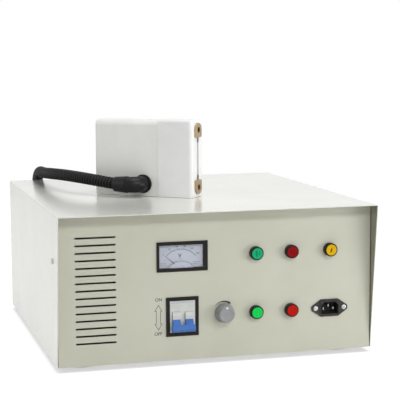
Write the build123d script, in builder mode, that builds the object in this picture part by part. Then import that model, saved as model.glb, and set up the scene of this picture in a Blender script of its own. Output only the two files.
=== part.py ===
"""Bench corona and plasma surface treater: a sheet steel generator cabinet with a
loose treating head standing on it, joined by a corrugated hose.

Millimetres, +Z up, the front panel faces -Y. The origin is on the standing surface,
under the middle of the cabinet."""
import os
from math import atan, cos, degrees, pi, radians, sin, sqrt, tan

from build123d import *

os.makedirs("parts", exist_ok=True)

# Cabinet sheet metal
cabinet_width = 428.8
cabinet_height = 196.6
cabinet_depth = 441.0
visor_reach = 22.8
cover_sheet = 1.2
panel_sheet = 2.0
base_sheet = 1.5
bend_radius = 2.0
seam_gap = 0.8
seat_gap = 0.3
rear_rim = 14.0
return_depth = 32.0
tray_flange = 20.0

# Feet
foot_height = 7.0
foot_radius = 11.0
foot_inset = 38.0
foot_well_radius = 5.0
foot_floor = 2.5

# Fan and rear fittings
fan_pitch = 71.5
fan_margin = 4.25
fan_wall = 2.0
fan_depth = 25.0
fan_edge = 96.4
fan_rise = 104.0
fan_hub_radius = 17.0
fan_strut = 4.0
fan_pin_radius = 2.0
fan_blades = 7
blade_chord = 19.0
guard_ring_count = 4
guard_ring_pitch = 8.5
guard_clear = 1.0
lug_radius = 5.4
guard_wire = 1.6
guard_stand = 2.4
gland_x = 10.0
gland_rise = 62.0
gland_thread_radius = 10.0

# Screws
screw_radius = 2.1
screw_head_radius = 3.9
screw_head = 2.2
rim_screw_rises = (42.0, 150.0)
side_screw_back = 21.5
side_screw_rise = 135.0
fit_gap = 0.1

# Vent slots
slot_count = 15
slot_pitch = 9.75
slot_length = 53.0
slot_width = 2.3
slot_x = -163.0
slot_rise = 97.5

# Meter
meter_x = -48.9
meter_rise = 136.6
meter_width = 68.2
meter_height = 39.2
meter_stand = 1.8
meter_case_depth = 34.0
window_width = 59.3
window_height = 30.2
window_shift_x = -1.15
window_recess = 1.0
window_sheet = 1.0
dial_recess = 6.0
needle_length = 25.6
needle_swing = 98.0
pivot_drop = 2.2
hub_radius = 1.2
case_drop = 1.7
case_spare = 5.4

# Circuit breaker
breaker_x = -49.2
breaker_rise = 57.6
bezel_width = 43.6
bezel_height = 51.6
bezel_stand = 1.8
face_width = 33.8
face_height = 42.2
pole_pitch = 17.2
breaker_depth = 66.0
breaker_wall = 1.2
breaker_case_height = 76.0
rail_height = 35.0
rail_depth = 7.5
lever_shaft_radius = 2.2
tie_root = 15.5
lever_round = 0.8
rail_length = 60.0
rail_sheet = 1.0
rail_web = 13.5
bracket_width = 40.0
bracket_foot = 22.0
barrel_radius = 8.6
barrel_setback = 6.0
lever_reach = 22.5
lever_width = 10.2
tie_width = 31.0
lever_rest_angle = 37.0
root_rise = 15.0
root_drop = 7.0
slot_gap = 0.9

# Power knob
knob_x = 7.4
knob_rise = 59.2
knob_length = 15.0
knob_base_radius = 13.2
knob_taper = 8.0
bushing_radius = 4.8
bushing_proud = 3.0
pot_radius = 12.0
pot_depth = 11.0
shaft_radius = 3.0
turn_gap = 0.35

# Lamps and buttons
lamp_rise = 136.6
button_rise = 58.0
run_x = 50.8
stop_x = 99.6
power_x = 154.0
ring_radius = 8.9
ring_stand = 7.5
ring_wall = 0.75
housing_barrel_radius = 7.9
lens_proud = 0.8
lens_seat = 3.0
cap_sheet = 3.0
button_travel = 3.0
stem_length = 9.0
nut_radius = 11.5
nut_sheet = 3.0
stem_radius = 3.0
lamp_depth = 24.0

# Mains inlet
inlet_x = 154.2
inlet_rise = 57.5
inlet_width = 50.8
inlet_height = 23.4
inlet_pitch = 40.0
inlet_stand = 2.0
inlet_body_width = 28.4
inlet_body_height = 20.4
inlet_screw_radius = 1.7
socket_width = 24.6
socket_height = 16.4
socket_depth = 16.0
rim_stand = 1.0
socket_corner = 4.2
pin_length = 10.5
pin_sheet = 2.0
pin_width = 4.0
pin_spots = [(-7.0, -1.8), (7.0, -1.8), (0.0, 2.2)]
inlet_screw_head = 3.4

# Treating head, standing loose on the cabinet
head_x = -31.1
head_back = 169.9
head_yaw = 39.5
housing_length = 100.0
housing_height = 107.0
housing_thickness = 36.0
block_length = 53.0
block_height = 108.0
block_thickness = 38.0
head_edge = 4.0
housing_top_round = 7.5
block_corner = 6.0
terminal_size = 20.0
terminal_sheet = 2.5
terminal_inset = 4.3
terminal_back = -1.6
terminal_hole = 4.4
wire_radius = 0.5
ferrule_radius = 1.1
ferrule_length = 7.0

# Hose and its fittings
hose_diameter = 16.0
elbow_from_joint = 22.9
elbow_rise = 17.5
elbow_reach = 20.0
elbow_leg = 34.5
elbow_bend = 13.0
elbow_neck_radius = 11.3
elbow_flange_radius = 13.2
elbow_flange_sheet = 3.4
elbow_socket_radius = 11.9
elbow_mouth_radius = 10.5
gland_flange_radius = 13.5
gland_stand = 27.0
coil_radius = 90.0
coil_turns = 2.5

# Inner parts
transformer_x = -20.0
transformer_y = 60.0
core_width = 120.0
core_height = 100.0
core_stack = 60.0
core_yoke = 20.0
core_window = 20.0
core_window_x = 30.0
core_foot = 14.0
core_foot_sheet = 3.0
winding_width = 76.0
winding_proud = 12.0
board_x = 118.0
board_y = -60.0
board_width = 150.0
board_length = 150.0
board_sheet = 1.6
pillar_height = 12.0
pillar_inset = 6.0
relay_length = 26.0
relay_width = 22.0
relay_height = 18.0
relay_pitch = 38.0
relay_inset = 23.0
relay_shift = -11.0
strip_length = 70.0
strip_width = 12.0
strip_height = 11.0
strip_inset = 8.0
strip_shift = -20.0
capacitor_radius = 12.5
capacitor_height = 40.0
capacitor_pitch = 30.0
capacitor_first = 5.0
capacitor_back = -20.0
sink_length = 100.0
sink_shift = 20.0
sink_back = 30.0
sink_width = 60.0
sink_height = 42.0
sink_floor = 6.0
fin_sheet = 2.0
fin_count = 9

# Places and sizes that follow from the sizes
fan_x = cabinet_width / 2 - fan_edge
fan_size = fan_pitch + 2 * fan_margin
fan_bore = fan_size / 2 - fan_wall
guard_rings = [fan_bore - guard_clear - guard_ring_pitch * ring for ring in range(guard_ring_count)]
lug_reach = fan_pitch / sqrt(2) - lug_radius + 1.0
rear_reach = guard_stand + guard_wire - cover_sheet
front_y = -(visor_reach + cabinet_depth + rear_reach) / 2
panel_y = front_y + visor_reach
rear_y = panel_y + cabinet_depth
base_z = foot_height
top_z = base_z + cabinet_height
inner_half = cabinet_width / 2 - cover_sheet
rear_face_y = rear_y - cover_sheet
panel_half = inner_half - seam_gap
panel_top = top_z - cover_sheet - seam_gap
tray_front = panel_y + panel_sheet
tray_back = rear_face_y - panel_sheet
tray_top = base_z + base_sheet


def front_plane(x, rise, stand=0.0):
    """A plane on the front panel at x and a height above the sheet, facing out."""
    return Plane(origin=(x, panel_y - stand, base_z + rise), x_dir=(1, 0, 0), z_dir=(0, -1, 0))


def rear_plane(x, rise, stand=0.0):
    """A plane on the rear panel at x and a height above the sheet, facing out."""
    return Plane(origin=(x, rear_face_y + stand, base_z + rise), x_dir=(-1, 0, 0), z_dir=(0, 1, 0))


def polar(radius, angle):
    """A point at a radius and an angle in degrees."""
    return (radius * cos(radians(angle)), radius * sin(radians(angle)))


def write(part, name):
    """Label a finished piece and write its STEP file."""
    part.label = name
    export_step(part, f"parts/{name}.step")


# Cabinet
tray_half = inner_half - fit_gap
tray_middle = (tray_front + tray_back) / 2
return_top = panel_top
rim_x = inner_half - rear_rim / 2
rim_screws = [(x, rise) for x in (-rim_x, rim_x) for rise in rim_screw_rises]
foot_spots = [
    (x, y)
    for x in (-cabinet_width / 2 + foot_inset, cabinet_width / 2 - foot_inset)
    for y in (panel_y + foot_inset, rear_y - foot_inset)
]
vent_spots = [
    (slot_x, slot_rise + slot_pitch * (row - (slot_count - 1) / 2)) for row in range(slot_count)
]
lamp_spots = [(run_x, lamp_rise), (stop_x, lamp_rise), (power_x, lamp_rise)]
button_spots = [(run_x, button_rise), (stop_x, button_rise)]
case_width = window_width + 3.2
case_height = window_height + case_spare

with BuildPart() as top_cover:
    with BuildSketch(Plane.YZ.offset(-cabinet_width / 2)):
        with BuildLine():
            Polyline(
                (panel_y, base_z), (front_y, top_z), (rear_y, top_z), (rear_y, base_z), close=True
            )
        make_face()
    extrude(amount=cabinet_width)
    fillet(top_cover.edges().filter_by(Axis.Y).group_by(Axis.Z)[-1], bend_radius)
    with BuildSketch(Plane.YZ.offset(-inner_half)):
        with BuildLine():
            Polyline(
                (front_y - 1, base_z - 1),
                (front_y - 1, top_z - cover_sheet),
                (rear_face_y, top_z - cover_sheet),
                (rear_face_y, base_z - 1),
                close=True,
            )
        make_face()
    extrude(amount=2 * inner_half, mode=Mode.SUBTRACT)
    with BuildSketch(rear_plane(0, -1)):
        Rectangle(
            2 * (inner_half - rear_rim),
            cabinet_height + 1 - cover_sheet - rear_rim,
            align=(Align.CENTER, Align.MIN),
        )
    extrude(amount=cover_sheet, mode=Mode.SUBTRACT)
    with BuildSketch(Plane.YZ.offset(-cabinet_width / 2)):
        with Locations((panel_y + side_screw_back, base_z + side_screw_rise)):
            Circle(screw_radius)
    extrude(amount=cabinet_width, mode=Mode.SUBTRACT)
    with BuildSketch(rear_plane(0, 0)):
        with Locations(*rim_screws):
            Circle(screw_radius)
    extrude(amount=cover_sheet, mode=Mode.SUBTRACT)
write(top_cover.part, "top_cover")

with BuildPart() as base_tray:
    with BuildSketch(Plane.XY.offset(base_z)):
        with Locations((0, tray_middle)):
            Rectangle(2 * tray_half, tray_back - tray_front)
    extrude(amount=tray_flange)
    fillet(base_tray.edges().filter_by(Axis.Z), bend_radius)
    fillet(base_tray.faces().sort_by(Axis.Z)[0].edges(), bend_radius)
    with BuildSketch(Plane.XY.offset(tray_top)):
        with Locations((0, tray_middle)):
            RectangleRounded(
                2 * (tray_half - base_sheet),
                tray_back - tray_front - 2 * base_sheet,
                bend_radius / 2,
            )
    extrude(amount=tray_flange, mode=Mode.SUBTRACT)
    with BuildSketch(Plane.XY.offset(base_z)):
        with Locations(*foot_spots):
            Circle(screw_radius)
    extrude(amount=base_sheet, mode=Mode.SUBTRACT)
write(base_tray.part, "base_tray")

with BuildPart() as front_panel:
    with BuildSketch(front_plane(0, 0)):
        Rectangle(2 * panel_half, panel_top - base_z, align=(Align.CENTER, Align.MIN))
    extrude(amount=-panel_sheet)
    with BuildSketch(Plane.XY.offset(base_z + tray_flange + seam_gap)):
        for side in (-1, 1):
            with Locations((side * (panel_half - panel_sheet / 2), panel_y + return_depth / 2)):
                Rectangle(panel_sheet, return_depth)
    extrude(amount=panel_top - base_z - tray_flange - seam_gap)
    with BuildSketch(front_plane(0, 0)):
        with Locations(*vent_spots):
            SlotOverall(slot_length, slot_width)
        with Locations((meter_x + window_shift_x, meter_rise - case_drop)):
            Rectangle(case_width + 2 * fit_gap, case_height + 2 * fit_gap)
        with Locations((breaker_x, breaker_rise)):
            Rectangle(face_width + 2 * breaker_wall, face_height + 2 * breaker_wall)
        with Locations((knob_x, knob_rise)):
            Circle(bushing_radius + fit_gap)
        with Locations(*(lamp_spots + button_spots)):
            Circle(housing_barrel_radius + fit_gap)
        with Locations((inlet_x, inlet_rise)):
            Rectangle(inlet_body_width + 2 * fit_gap, inlet_body_height + 2 * fit_gap)
        with Locations((inlet_x - inlet_pitch / 2, inlet_rise), (inlet_x + inlet_pitch / 2, inlet_rise)):
            Circle(inlet_screw_radius)
    extrude(amount=-panel_sheet, mode=Mode.SUBTRACT)
    with BuildSketch(Plane.YZ.offset(-cabinet_width / 2)):
        with Locations((panel_y + side_screw_back, base_z + side_screw_rise)):
            Circle(screw_radius)
    extrude(amount=cabinet_width, mode=Mode.SUBTRACT)
write(front_panel.part, "front_panel")

with BuildPart() as rear_panel:
    with BuildSketch(rear_plane(0, 0)):
        Rectangle(2 * panel_half, panel_top - base_z, align=(Align.CENTER, Align.MIN))
    extrude(amount=-panel_sheet)
    with BuildSketch(rear_plane(0, 0)):
        with Locations((-fan_x, fan_rise)):
            Circle(fan_bore)
            with GridLocations(fan_pitch, fan_pitch, 2, 2):
                Circle(screw_radius)
        with Locations((-gland_x, gland_rise)):
            Circle(gland_thread_radius + fit_gap)
        with Locations(*rim_screws):
            Circle(screw_radius)
    extrude(amount=-panel_sheet, mode=Mode.SUBTRACT)
write(rear_panel.part, "rear_panel")

with BuildPart() as rubber_feet:
    with BuildSketch():
        with Locations(*foot_spots):
            Circle(foot_radius)
    extrude(amount=foot_height, taper=4)
    fillet(rubber_feet.edges().filter_by(GeomType.CIRCLE).group_by(Axis.Z)[0], 0.8)
    with BuildSketch():
        with Locations(*foot_spots):
            Circle(foot_well_radius)
    extrude(amount=foot_height - foot_floor, mode=Mode.SUBTRACT)
    with BuildSketch():
        with Locations(*foot_spots):
            Circle(screw_radius)
    extrude(amount=foot_height, mode=Mode.SUBTRACT)
write(rubber_feet.part, "rubber_feet")

with BuildPart() as foot_screws:
    with BuildSketch(Plane.XY.offset(foot_height - foot_floor - screw_head)):
        with Locations(*foot_spots):
            Circle(screw_head_radius)
    extrude(amount=screw_head)
    with BuildSketch(Plane.XY.offset(foot_height - foot_floor)):
        with Locations(*foot_spots):
            Circle(screw_radius - fit_gap)
    extrude(amount=foot_floor + base_sheet + 4)
write(foot_screws.part, "foot_screws")

with BuildPart() as cover_side_screws:
    for side in (-1, 1):
        screw_plane = Plane(
            origin=(side * cabinet_width / 2, panel_y + side_screw_back, base_z + side_screw_rise),
            z_dir=(side, 0, 0),
        )
        with BuildSketch(screw_plane):
            Circle(screw_head_radius)
        extrude(amount=screw_head, taper=20)
        with BuildSketch(screw_plane):
            Circle(screw_radius - fit_gap)
        extrude(amount=-(cover_sheet + seam_gap + panel_sheet + 4))
write(cover_side_screws.part, "cover_side_screws")

with BuildPart() as cover_rear_screws:
    with BuildSketch(rear_plane(0, 0, cover_sheet)):
        with Locations(*rim_screws):
            Circle(screw_head_radius)
    extrude(amount=screw_head, taper=20)
    with BuildSketch(rear_plane(0, 0, cover_sheet)):
        with Locations(*rim_screws):
            Circle(screw_radius - fit_gap)
    extrude(amount=-(cover_sheet + panel_sheet + 4))
write(cover_rear_screws.part, "cover_rear_screws")

# Meter
window_x = meter_x + window_shift_x
pivot_rise = meter_rise - window_height / 2 - pivot_drop
cavity_drop = pivot_drop + hub_radius + 0.3
needle_depth = 3.4
needle_zero = 90 + needle_swing / 2
cover_chord = 31.0
cover_rise = 8.1

with BuildPart() as meter_frame:
    with BuildSketch(front_plane(meter_x, meter_rise)):
        Rectangle(meter_width, meter_height)
    extrude(amount=meter_stand)
    chamfer(meter_frame.faces().sort_by(Axis.Y)[0].edges(), 0.5)
    with BuildSketch(front_plane(window_x, meter_rise - case_drop)):
        Rectangle(case_width, case_height)
    extrude(amount=-meter_case_depth)
    with BuildSketch(front_plane(window_x, meter_rise, meter_stand)):
        Rectangle(window_width, window_height)
    extrude(amount=-dial_recess, mode=Mode.SUBTRACT)
    with BuildSketch(front_plane(window_x, meter_rise, meter_stand - window_recess - window_sheet)):
        with Locations((0, -window_height / 2 - cavity_drop)):
            Rectangle(
                window_width, window_height + cavity_drop, align=(Align.CENTER, Align.MIN)
            )
    extrude(amount=window_recess + window_sheet - dial_recess, mode=Mode.SUBTRACT)
write(meter_frame.part, "meter_frame")

with BuildPart() as meter_dial:
    with BuildSketch(front_plane(window_x, meter_rise, meter_stand - dial_recess)):
        Rectangle(window_width, window_height)
    extrude(amount=0.5)
    with BuildSketch(front_plane(window_x, meter_rise - window_height / 2, meter_stand - 2.2)):
        with BuildLine():
            Line((-cover_chord / 2, 0), (cover_chord / 2, 0))
            ThreePointArc((cover_chord / 2, 0), (0, cover_rise), (-cover_chord / 2, 0))
        make_face()
    extrude(amount=-0.6)
write(meter_dial.part, "meter_dial")

with BuildPart() as meter_window:
    with BuildSketch(front_plane(window_x, meter_rise, meter_stand - window_recess)):
        Rectangle(window_width, window_height)
    extrude(amount=-window_sheet)
write(meter_window.part, "meter_window")

with BuildPart() as meter_needle:
    with BuildSketch(front_plane(window_x, pivot_rise, meter_stand - needle_depth)):
        Circle(hub_radius)
        with BuildLine():
            Polyline(
                polar(1.0, needle_zero - 90),
                polar(needle_length, needle_zero - 0.6),
                polar(needle_length, needle_zero + 0.6),
                polar(1.0, needle_zero + 90),
                close=True,
            )
        make_face()
    extrude(amount=-0.5)
    with BuildSketch(front_plane(window_x, pivot_rise, meter_stand - needle_depth)):
        Circle(0.8)
    extrude(amount=-(dial_recess - 0.5 - needle_depth - 0.3))
write(meter_needle.part, "meter_needle")

# Circuit breaker
face_stand = bezel_stand - 0.3
pivot_y = panel_y - face_stand + barrel_setback
slot_half = sqrt(barrel_radius**2 - barrel_setback**2) + slot_gap
pole_spots = [(-pole_pitch / 2, 0), (pole_pitch / 2, 0)]

with BuildPart() as breaker_bezel:
    with BuildSketch(front_plane(breaker_x, breaker_rise)):
        Rectangle(bezel_width, bezel_height)
    extrude(amount=bezel_stand)
    chamfer(breaker_bezel.faces().sort_by(Axis.Y)[0].edges(), 0.5)
    with BuildSketch(front_plane(breaker_x, breaker_rise)):
        Rectangle(
            face_width + 2 * (breaker_wall - fit_gap), face_height + 2 * (breaker_wall - fit_gap)
        )
    extrude(amount=-(panel_sheet + 3))
    with BuildSketch(front_plane(breaker_x, breaker_rise, bezel_stand)):
        Rectangle(face_width + 2 * fit_gap, face_height + 2 * fit_gap)
    extrude(amount=-(bezel_stand + panel_sheet + 3), mode=Mode.SUBTRACT)
write(breaker_bezel.part, "breaker_bezel")

with BuildPart() as breaker_body:
    with BuildSketch(front_plane(breaker_x, breaker_rise, face_stand)):
        Rectangle(face_width, face_height)
    extrude(amount=-(face_stand + panel_sheet + 4))
    fillet(breaker_body.edges().filter_by(Axis.X).group_by(Axis.Y)[0], 1.2)
    with BuildSketch(front_plane(breaker_x, breaker_rise, -(panel_sheet + 4))):
        Rectangle(2 * 17.8, breaker_case_height)
    extrude(amount=-(breaker_depth - panel_sheet - 4))
    with BuildSketch(front_plane(breaker_x, breaker_rise, -breaker_depth)):
        Rectangle(2 * 17.8, rail_height + 2 * fit_gap)
    extrude(amount=rail_depth, mode=Mode.SUBTRACT)
    with BuildSketch(front_plane(breaker_x, breaker_rise, face_stand)):
        with Locations(*pole_spots):
            Rectangle(lever_width + 2 * turn_gap, 2 * slot_half)
    extrude(amount=-barrel_setback, mode=Mode.SUBTRACT)
    for pole in (-pole_pitch / 2, pole_pitch / 2):
        with BuildSketch(Plane.YZ.offset(breaker_x + pole)):
            with Locations((pivot_y, base_z + breaker_rise)):
                Circle(barrel_radius + turn_gap)
        extrude(amount=lever_width / 2 + turn_gap, both=True, mode=Mode.SUBTRACT)
    with BuildSketch(front_plane(breaker_x, breaker_rise, face_stand - barrel_setback)):
        Rectangle(pole_pitch, 2 * (lever_shaft_radius + turn_gap))
    extrude(amount=lever_shaft_radius + turn_gap, both=True, mode=Mode.SUBTRACT)
write(breaker_body.part, "breaker_body")

lever_plane = Plane(origin=(breaker_x, pivot_y, base_z + breaker_rise), x_dir=(0, -1, 0), z_dir=(1, 0, 0))
with BuildPart() as breaker_barrel:
    for pole in (-pole_pitch / 2, pole_pitch / 2):
        with BuildSketch(lever_plane.offset(pole - lever_width / 2)):
            Circle(barrel_radius)
        extrude(amount=lever_width)
    with BuildSketch(lever_plane.offset(-pole_pitch / 2)):
        Circle(lever_shaft_radius)
    extrude(amount=pole_pitch)
write(breaker_barrel.part, "breaker_barrel")

with BuildPart() as breaker_levers:
    for pole in (-pole_pitch / 2, pole_pitch / 2):
        with BuildSketch(lever_plane.offset(pole - lever_width / 2)):
            with BuildLine():
                ThreePointArc(
                    polar(barrel_radius, lever_rest_angle - root_rise),
                    polar(barrel_radius, lever_rest_angle),
                    polar(barrel_radius, lever_rest_angle + root_drop),
                )
                Polyline(
                    polar(barrel_radius, lever_rest_angle + root_drop),
                    polar(lever_reach, lever_rest_angle + 25),
                    polar(lever_reach, lever_rest_angle + 6),
                    polar(barrel_radius, lever_rest_angle - root_rise),
                )
            make_face()
        extrude(amount=lever_width)
    with BuildSketch(lever_plane.offset(-tie_width / 2)):
        with BuildLine():
            Polyline(
                polar(tie_root, lever_rest_angle),
                polar(lever_reach, lever_rest_angle + 6),
                polar(lever_reach, lever_rest_angle + 25),
                polar(tie_root, lever_rest_angle + 21),
                close=True,
            )
        make_face()
        fillet(vertices(), lever_round)
    extrude(amount=tie_width)
write(breaker_levers.part, "breaker_levers")

bracket_y = panel_y + breaker_depth
with BuildPart() as breaker_rail:
    with BuildSketch(Plane.YZ.offset(breaker_x - rail_length / 2)):
        with BuildLine():
            Polyline(
                (bracket_y - rail_depth + rail_sheet, base_z + breaker_rise + rail_height / 2),
                (bracket_y - rail_depth + rail_sheet, base_z + breaker_rise + rail_web),
                (bracket_y, base_z + breaker_rise + rail_web),
                (bracket_y, base_z + breaker_rise - rail_web),
                (bracket_y - rail_depth + rail_sheet, base_z + breaker_rise - rail_web),
                (bracket_y - rail_depth + rail_sheet, base_z + breaker_rise - rail_height / 2),
            )
            offset(amount=rail_sheet, side=Side.LEFT)
        make_face()
    extrude(amount=rail_length)
write(breaker_rail.part, "breaker_rail")

with BuildPart() as rail_bracket:
    with BuildSketch(Plane.YZ.offset(breaker_x - bracket_width / 2)):
        with Locations((bracket_y + rail_sheet, tray_top)):
            Rectangle(
                base_sheet, breaker_rise + rail_height / 2, align=(Align.MIN, Align.MIN)
            )
            Rectangle(bracket_foot, base_sheet, align=(Align.MIN, Align.MIN))
    extrude(amount=bracket_width)
write(rail_bracket.part, "rail_bracket")

# Power knob and its potentiometer
with BuildPart() as power_knob:
    with BuildSketch(front_plane(knob_x, knob_rise, seam_gap)):
        Circle(knob_base_radius)
    extrude(amount=knob_length - seam_gap, taper=knob_taper)
    fillet(power_knob.edges().filter_by(GeomType.CIRCLE).sort_by(Axis.Y)[0], 1.4)
    with BuildSketch(front_plane(knob_x, knob_rise, seam_gap)):
        Circle(bushing_radius + 2.4)
    extrude(amount=bushing_proud + 1.0, mode=Mode.SUBTRACT)
    with BuildSketch(front_plane(knob_x, knob_rise, seam_gap)):
        Circle(shaft_radius)
    extrude(amount=knob_length - seam_gap - 3, mode=Mode.SUBTRACT)
write(power_knob.part, "power_knob")

with BuildPart() as knob_shaft:
    with BuildSketch(front_plane(knob_x, knob_rise, knob_length - 3)):
        Circle(shaft_radius)
    extrude(amount=-(knob_length - 3 + panel_sheet + 8))
write(knob_shaft.part, "knob_shaft")

with BuildPart() as potentiometer:
    with BuildSketch(front_plane(knob_x, knob_rise, -panel_sheet)):
        Circle(pot_radius)
    extrude(amount=-pot_depth)
    with BuildSketch(front_plane(knob_x, knob_rise, bushing_proud)):
        Circle(bushing_radius)
    extrude(amount=-(bushing_proud + panel_sheet))
    with BuildSketch(front_plane(knob_x, knob_rise)):
        RegularPolygon(bushing_radius + 1.9, 6)
    extrude(amount=bushing_proud - 0.4)
    with BuildSketch(front_plane(knob_x, knob_rise, bushing_proud)):
        Circle(shaft_radius + turn_gap)
    extrude(amount=-(bushing_proud + panel_sheet + 9), mode=Mode.SUBTRACT)
write(potentiometer.part, "potentiometer")

# Lamps and push buttons
lens_radius = ring_radius - ring_wall
cap_radius = lens_radius - turn_gap
button_floor = ring_stand - button_travel - cap_sheet - seat_gap


def lens_piece(name, spot):
    """A domed lens seated in the ring of one lamp."""
    with BuildPart() as lens:
        with BuildSketch(front_plane(*spot, ring_stand - lens_seat)):
            Circle(lens_radius)
        extrude(amount=lens_seat + lens_proud)
        fillet(lens.edges().filter_by(GeomType.CIRCLE).sort_by(Axis.Y)[0], lens_proud - 0.1)
    write(lens.part, name)


def button_piece(name, spot):
    """A push button cap on its stem, standing proud of the ring by its travel."""
    with BuildPart() as cap:
        with BuildSketch(front_plane(*spot, ring_stand + lens_proud)):
            Circle(cap_radius)
        extrude(amount=-(cap_sheet + lens_proud))
        fillet(cap.edges().filter_by(GeomType.CIRCLE).sort_by(Axis.Y)[0], lens_proud - 0.1)
        with BuildSketch(front_plane(*spot, ring_stand - cap_sheet)):
            Circle(stem_radius)
        extrude(amount=-stem_length)
    write(cap.part, name)


def ring_piece(name, spots, floor, bore, bore_depth):
    """The ring and barrel that each lamp or button sits in, one solid a spot."""
    with BuildPart() as ring:
        with BuildSketch(front_plane(0, 0)):
            with Locations(*spots):
                Circle(ring_radius)
        extrude(amount=ring_stand)
        chamfer(ring.edges().filter_by(GeomType.CIRCLE).group_by(Axis.Y)[0], 0.3)
        with BuildSketch(front_plane(0, 0)):
            with Locations(*spots):
                Circle(housing_barrel_radius)
        extrude(amount=-lamp_depth)
        with BuildSketch(front_plane(0, 0, ring_stand)):
            with Locations(*spots):
                Circle(lens_radius)
        extrude(amount=floor - ring_stand, mode=Mode.SUBTRACT)
        if bore:
            with BuildSketch(front_plane(0, 0, floor)):
                with Locations(*spots):
                    Circle(bore)
            extrude(amount=-bore_depth, mode=Mode.SUBTRACT)
    write(ring.part, name)


lens_piece("run_lamp_lens", lamp_spots[0])
lens_piece("stop_lamp_lens", lamp_spots[1])
lens_piece("power_lamp_lens", lamp_spots[2])
button_piece("start_button", button_spots[0])
button_piece("stop_button", button_spots[1])
ring_piece("lamp_rings", lamp_spots, ring_stand - lens_seat, 0, 0)
ring_piece(
    "button_rings", button_spots, button_floor, stem_radius + turn_gap, stem_length + button_travel
)

with BuildPart() as panel_nuts:
    with BuildSketch(front_plane(0, 0, -panel_sheet)):
        with Locations(*(lamp_spots + button_spots)):
            RegularPolygon(nut_radius, 6)
            Circle(housing_barrel_radius + 0.02, mode=Mode.SUBTRACT)
    extrude(amount=-nut_sheet)
write(panel_nuts.part, "panel_nuts")

# Mains inlet
inlet_plane = front_plane(inlet_x, inlet_rise)
with BuildPart() as inlet_housing:
    with BuildSketch(inlet_plane):
        with BuildLine():
            Polyline(
                (-inlet_body_width / 2 + 2, -inlet_height / 2),
                (inlet_body_width / 2 - 2, -inlet_height / 2),
                (inlet_width / 2, -2.6),
                (inlet_width / 2, 2.6),
                (inlet_body_width / 2 - 2, inlet_height / 2),
                (-inlet_body_width / 2 + 2, inlet_height / 2),
                (-inlet_width / 2, 2.6),
                (-inlet_width / 2, -2.6),
                close=True,
            )
        make_face()
        fillet(vertices(), 2.4)
    extrude(amount=inlet_stand)
    chamfer(inlet_housing.faces().sort_by(Axis.Y)[0].edges(), 0.3)
    with BuildSketch(inlet_plane):
        Rectangle(inlet_body_width, inlet_body_height)
    extrude(amount=-(socket_depth + 3))
    with BuildSketch(inlet_plane.offset(inlet_stand)):
        Rectangle(socket_width + 2.4, socket_height + 2.4)
    extrude(amount=rim_stand)
    with BuildSketch(inlet_plane.offset(inlet_stand + rim_stand)):
        with BuildLine():
            Polyline(
                (-socket_width / 2, -socket_height / 2),
                (socket_width / 2, -socket_height / 2),
                (socket_width / 2, socket_height / 2 - socket_corner),
                (socket_width / 2 - socket_corner, socket_height / 2),
                (-socket_width / 2 + socket_corner, socket_height / 2),
                (-socket_width / 2, socket_height / 2 - socket_corner),
                close=True,
            )
        make_face()
    extrude(amount=-(socket_depth + rim_stand), mode=Mode.SUBTRACT)
    with BuildSketch(inlet_plane):
        with Locations((-inlet_pitch / 2, 0), (inlet_pitch / 2, 0)):
            Circle(inlet_screw_radius)
    extrude(amount=inlet_stand, mode=Mode.SUBTRACT)
    with BuildSketch(inlet_plane.offset(inlet_stand - socket_depth)):
        with Locations(*pin_spots):
            Rectangle(pin_sheet, pin_width)
    extrude(amount=-(inlet_stand + 3), mode=Mode.SUBTRACT)
write(inlet_housing.part, "inlet_housing")

with BuildPart() as inlet_pins:
    with BuildSketch(inlet_plane.offset(inlet_stand - socket_depth + pin_length)):
        with Locations(*pin_spots):
            Rectangle(pin_sheet - fit_gap, pin_width - fit_gap)
    extrude(amount=-(pin_length + inlet_stand + 9))
    chamfer(inlet_pins.faces().group_by(Axis.Y)[0].edges(), 0.4)
write(inlet_pins.part, "inlet_pins")

with BuildPart() as inlet_screws:
    with BuildSketch(inlet_plane.offset(inlet_stand)):
        with Locations((-inlet_pitch / 2, 0), (inlet_pitch / 2, 0)):
            Circle(inlet_screw_head)
    extrude(amount=1.3, taper=25)
    with BuildSketch(inlet_plane.offset(inlet_stand)):
        with Locations((-inlet_pitch / 2, 0), (inlet_pitch / 2, 0)):
            Circle(inlet_screw_radius - fit_gap)
    extrude(amount=-(inlet_stand + panel_sheet + 4))
write(inlet_screws.part, "inlet_screws")

# Treating head
head_plane = Plane(
    origin=(head_x, panel_y + head_back, top_z + seat_gap),
    x_dir=(cos(radians(head_yaw)), -sin(radians(head_yaw)), 0),
    z_dir=(0, 0, 1),
)


def head_face(along, across, rise, normal, up=(0, 0, 1)):
    """A plane at a place on the treating head, facing a direction of the head."""
    x_dir = Vector(*up).cross(Vector(*normal))
    return Plane(
        origin=head_plane.from_local_coords((along, across, rise)),
        x_dir=head_plane.from_local_coords(x_dir) - head_plane.origin,
        z_dir=head_plane.from_local_coords(Vector(*normal)) - head_plane.origin,
    )


head_axis = Axis(head_plane.origin, head_plane.x_dir)
with BuildPart() as head_housing:
    with BuildSketch(head_plane):
        with Locations((-housing_length / 2, 0)):
            Rectangle(housing_length, housing_thickness)
    extrude(amount=housing_height)
    fillet(head_housing.edges().filter_by(head_axis).group_by(Axis.Z)[-1], housing_top_round)
    fillet(head_housing.faces().sort_by(head_axis)[0].edges(), head_edge)
write(head_housing.part, "head_housing")

with BuildPart() as head_end_block:
    with BuildSketch(head_plane):
        with Locations((block_length / 2, 0)):
            Rectangle(block_length, block_thickness)
    extrude(amount=block_height)
    fillet(head_end_block.edges().filter_by(Axis.Z).group_by(head_axis)[-1], block_corner)
    fillet(head_end_block.faces().sort_by(Axis.Z)[-1].edges().sort_by(head_axis)[1:], head_edge)
    chamfer(head_end_block.faces().sort_by(head_axis)[0].edges(), 0.6)
write(head_end_block.part, "head_end_block")

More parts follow.
